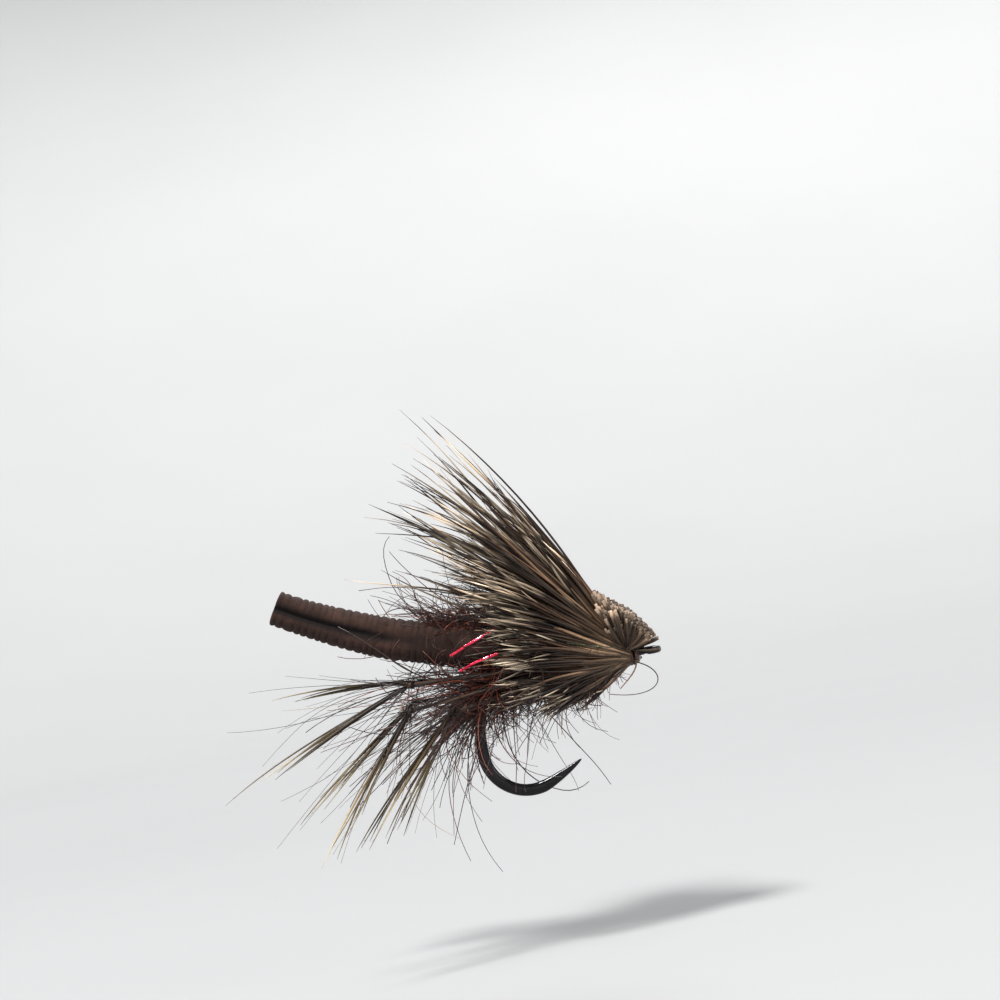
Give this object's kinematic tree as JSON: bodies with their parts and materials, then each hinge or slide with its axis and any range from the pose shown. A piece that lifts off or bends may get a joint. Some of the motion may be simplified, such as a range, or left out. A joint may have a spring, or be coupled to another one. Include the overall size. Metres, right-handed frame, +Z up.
{
  "type": "dry fly",
  "caption": "Barbless fishing fly with a free ribbed foam body, deer-hair wing and clipped head, fur dubbing and knotted feather legs.",
  "frame": {"origin": "centre of the hook eye's hole", "axes": "+X forward along the straight shank, out of the eye; +Y to the fly's left; +Z up, from the hook point's side to the wing's side"},
  "size_m": [0.0296, 0.0116, 0.026],
  "materials": {
    "black_nickel": "polished black nickel",
    "thread": "waxed dark brown",
    "cement": "clear gloss",
    "foam": "matte dark brown closed-cell foam",
    "fur": "red-brown seal-type fur",
    "feather": "barred brown and cream tail fibre",
    "deer_hair": "grey-brown hair with cream tips",
    "clipped_hair": "clipped grey-brown butts",
    "red_flash": "metallised film",
    "green_flash": "metallised film"
  },
  "bodies": {
    "fly_core": {"hook": "black_nickel", "thread_underbody": "thread", "foam_tie_band": "thread", "hair_binding_thread": "thread", "whip_finish": "thread", "head_cement": "cement", "foam_body_front": "foam", "dubbing_abdomen": "fur", "dubbing_thorax": "fur", "wing_top": "deer_hair", "wing_right": "deer_hair", "wing_left": "deer_hair", "collar_right": "deer_hair", "collar_left": "deer_hair", "beard_right": "deer_hair", "beard_left": "deer_hair", "head_hair": "clipped_hair", "flash_red_upper": "red_flash", "flash_red_lower": "red_flash", "flash_green": "green_flash"},
    "foam_tail": {"foam_body_tail": "foam"},
    "leg_right_front_thigh": {"leg_right_front_thigh": "feather"},
    "leg_right_front_shin": {"leg_right_front_shin": "feather"},
    "leg_right_middle_thigh": {"leg_right_middle_thigh": "feather"},
    "leg_right_middle_shin": {"leg_right_middle_shin": "feather"},
    "leg_right_rear_thigh": {"leg_right_rear_thigh": "feather"},
    "leg_right_rear_shin": {"leg_right_rear_shin": "feather"},
    "leg_left_front_thigh": {"leg_left_front_thigh": "feather"},
    "leg_left_front_shin": {"leg_left_front_shin": "feather"},
    "leg_left_middle_thigh": {"leg_left_middle_thigh": "feather"},
    "leg_left_middle_shin": {"leg_left_middle_shin": "feather"},
    "leg_left_rear_thigh": {"leg_left_rear_thigh": "feather"},
    "leg_left_rear_shin": {"leg_left_rear_shin": "feather"}
  },
  "joints": [
    {"name": "foam_flex", "type": "hinge", "parent": "fly_core", "child": "foam_tail", "pos_m": [-0.01115, 0, 0.00211], "axis": [0, 1, 0], "range_deg": [-8, 20], "stiffness_Nm_per_rad": 0.0001},
    {"name": "leg_right_front_hip", "type": "hinge", "parent": "fly_core", "child": "leg_right_front_thigh", "pos_m": [-0.00717, -0.00052, 0.00015], "axis": [0, 0, 1], "range_deg": [-2, 15], "stiffness_Nm_per_rad": 0.000001},
    {"name": "leg_right_front_knee", "type": "hinge", "parent": "leg_right_front_thigh", "child": "leg_right_front_shin", "pos_m": [-0.01607, -0.00278, 0.00055], "axis": [0, 1, 0], "range_deg": [-15, 15], "stiffness_Nm_per_rad": 0.000001},
    {"name": "leg_right_middle_hip", "type": "hinge", "parent": "fly_core", "child": "leg_right_middle_thigh", "pos_m": [-0.00717, -0.00052, -0.00035], "axis": [0, 0, 1], "range_deg": [-2, 15], "stiffness_Nm_per_rad": 0.000001},
    {"name": "leg_right_middle_knee", "type": "hinge", "parent": "leg_right_middle_thigh", "child": "leg_right_middle_shin", "pos_m": [-0.01627, -0.00398, -0.00105], "axis": [0, 1, 0], "range_deg": [-15, 15], "stiffness_Nm_per_rad": 0.000001},
    {"name": "leg_right_rear_hip", "type": "hinge", "parent": "fly_core", "child": "leg_right_rear_thigh", "pos_m": [-0.00717, -0.00052, -0.00085], "axis": [0, 0, 1], "range_deg": [-2, 15], "stiffness_Nm_per_rad": 0.000001},
    {"name": "leg_right_rear_knee", "type": "hinge", "parent": "leg_right_rear_thigh", "child": "leg_right_rear_shin", "pos_m": [-0.01357, -0.00218, -0.00175], "axis": [0, 1, 0], "range_deg": [-15, 15], "stiffness_Nm_per_rad": 0.000001},
    {"name": "leg_left_front_hip", "type": "hinge", "parent": "fly_core", "child": "leg_left_front_thigh", "pos_m": [-0.00717, 0.00052, 0.00015], "axis": [0, 0, -1], "range_deg": [-2, 15], "stiffness_Nm_per_rad": 0.000001},
    {"name": "leg_left_front_knee", "type": "hinge", "parent": "leg_left_front_thigh", "child": "leg_left_front_shin", "pos_m": [-0.01547, 0.00298, 0.00025], "axis": [0, 1, 0], "range_deg": [-15, 15], "stiffness_Nm_per_rad": 0.000001},
    {"name": "leg_left_middle_hip", "type": "hinge", "parent": "fly_core", "child": "leg_left_middle_thigh", "pos_m": [-0.00717, 0.00052, -0.00035], "axis": [0, 0, -1], "range_deg": [-2, 15], "stiffness_Nm_per_rad": 0.000001},
    {"name": "leg_left_middle_knee", "type": "hinge", "parent": "leg_left_middle_thigh", "child": "leg_left_middle_shin", "pos_m": [-0.01617, 0.00418, -0.00115], "axis": [0, 1, 0], "range_deg": [-15, 15], "stiffness_Nm_per_rad": 0.000001},
    {"name": "leg_left_rear_hip", "type": "hinge", "parent": "fly_core", "child": "leg_left_rear_thigh", "pos_m": [-0.00717, 0.00052, -0.00085], "axis": [0, 0, -1], "range_deg": [-2, 15], "stiffness_Nm_per_rad": 0.000001},
    {"name": "leg_left_rear_knee", "type": "hinge", "parent": "leg_left_rear_thigh", "child": "leg_left_rear_shin", "pos_m": [-0.01307, 0.00228, -0.00195], "axis": [0, 1, 0], "range_deg": [-15, 15], "stiffness_Nm_per_rad": 0.000001}
  ]
}
